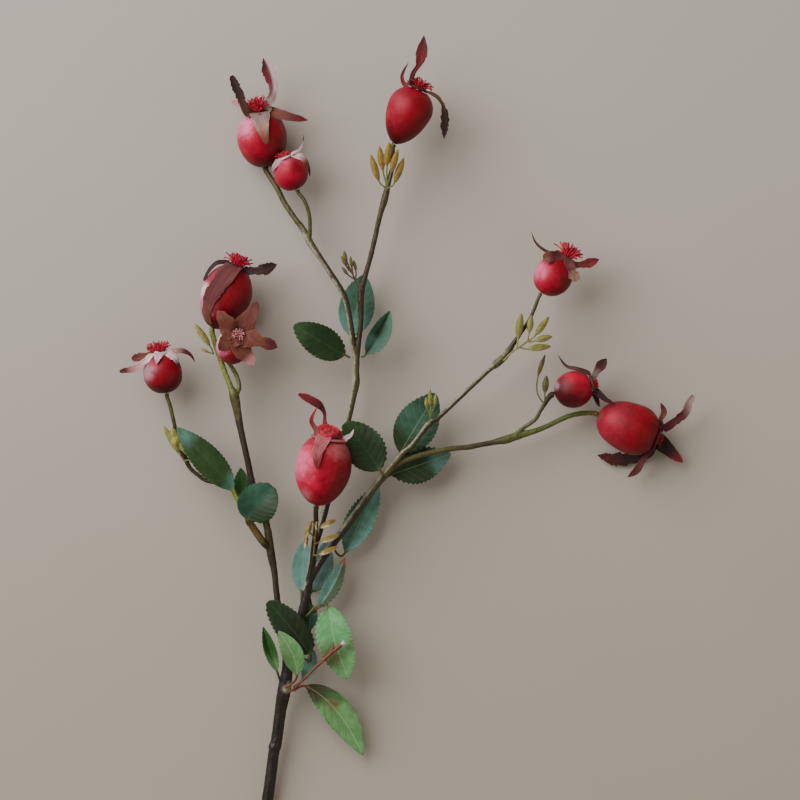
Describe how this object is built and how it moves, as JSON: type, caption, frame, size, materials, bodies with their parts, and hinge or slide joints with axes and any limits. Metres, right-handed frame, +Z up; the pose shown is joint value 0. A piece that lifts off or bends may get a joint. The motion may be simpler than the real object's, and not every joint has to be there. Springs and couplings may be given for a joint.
{
  "type": "rose hip sprig",
  "caption": "Cut sprig of rose hips lying on its side: a forked stem with red hips, dried calyxes, toothed leaves and small buds.",
  "frame": {"origin": "middle of the sprig's bounding box, on the surface it lies on", "axes": "+Y from the cut end to the top hips, +Z up from the surface, +X to the right-hand branch"},
  "size_m": [0.2872, 0.4021, 0.0488],
  "materials": {
    "stem": "satin",
    "hip": "satin",
    "calyx": "matte",
    "stamens": "matte",
    "leaf_dark": "satin",
    "leaf_blue": "satin",
    "leaf_light": "satin",
    "leaf_stalk": "satin",
    "buds": "matte"
  },
  "bodies": {
    "root": {"stem": "stem", "hip_01": "hip", "calyx_01": "calyx", "stamens_01": "stamens", "hip_02": "hip", "calyx_02": "calyx", "stamens_02": "stamens", "hip_03": "hip", "calyx_03": "calyx", "stamens_03": "stamens", "hip_04": "hip", "calyx_04": "calyx", "stamens_04": "stamens", "hip_05": "hip", "calyx_05": "calyx", "stamens_05": "stamens", "hip_06": "hip", "calyx_06": "calyx", "stamens_06": "stamens", "hip_07": "hip", "calyx_07": "calyx", "stamens_07": "stamens", "hip_08": "hip", "calyx_08": "calyx", "stamens_08": "stamens", "hip_09": "hip", "calyx_09": "calyx", "stamens_09": "stamens", "hip_10": "hip", "calyx_10": "calyx", "stamens_10": "stamens", "leaf_01": "leaf_dark", "leaf_02": "leaf_blue", "leaf_03": "leaf_dark", "leaf_04": "leaf_dark", "leaf_05": "leaf_blue", "leaf_06": "leaf_blue", "leaf_07": "leaf_blue", "leaf_08": "leaf_blue", "leaf_09": "leaf_dark", "leaf_10": "leaf_dark", "leaf_11": "leaf_dark", "leaf_12": "leaf_dark", "leaf_13": "leaf_dark", "leaf_14": "leaf_light", "leaf_15": "leaf_light", "leaf_16": "leaf_blue", "leaf_17": "leaf_light", "leaf_18": "leaf_blue", "leaf_19": "leaf_blue", "leaf_20": "leaf_blue", "leaf_stalk": "leaf_stalk", "buds_01": "buds", "buds_02": "buds", "buds_03": "buds", "buds_04": "buds", "buds_05": "buds", "buds_06": "buds", "buds_07": "buds", "buds_08": "buds"}
  },
  "joints": []
}
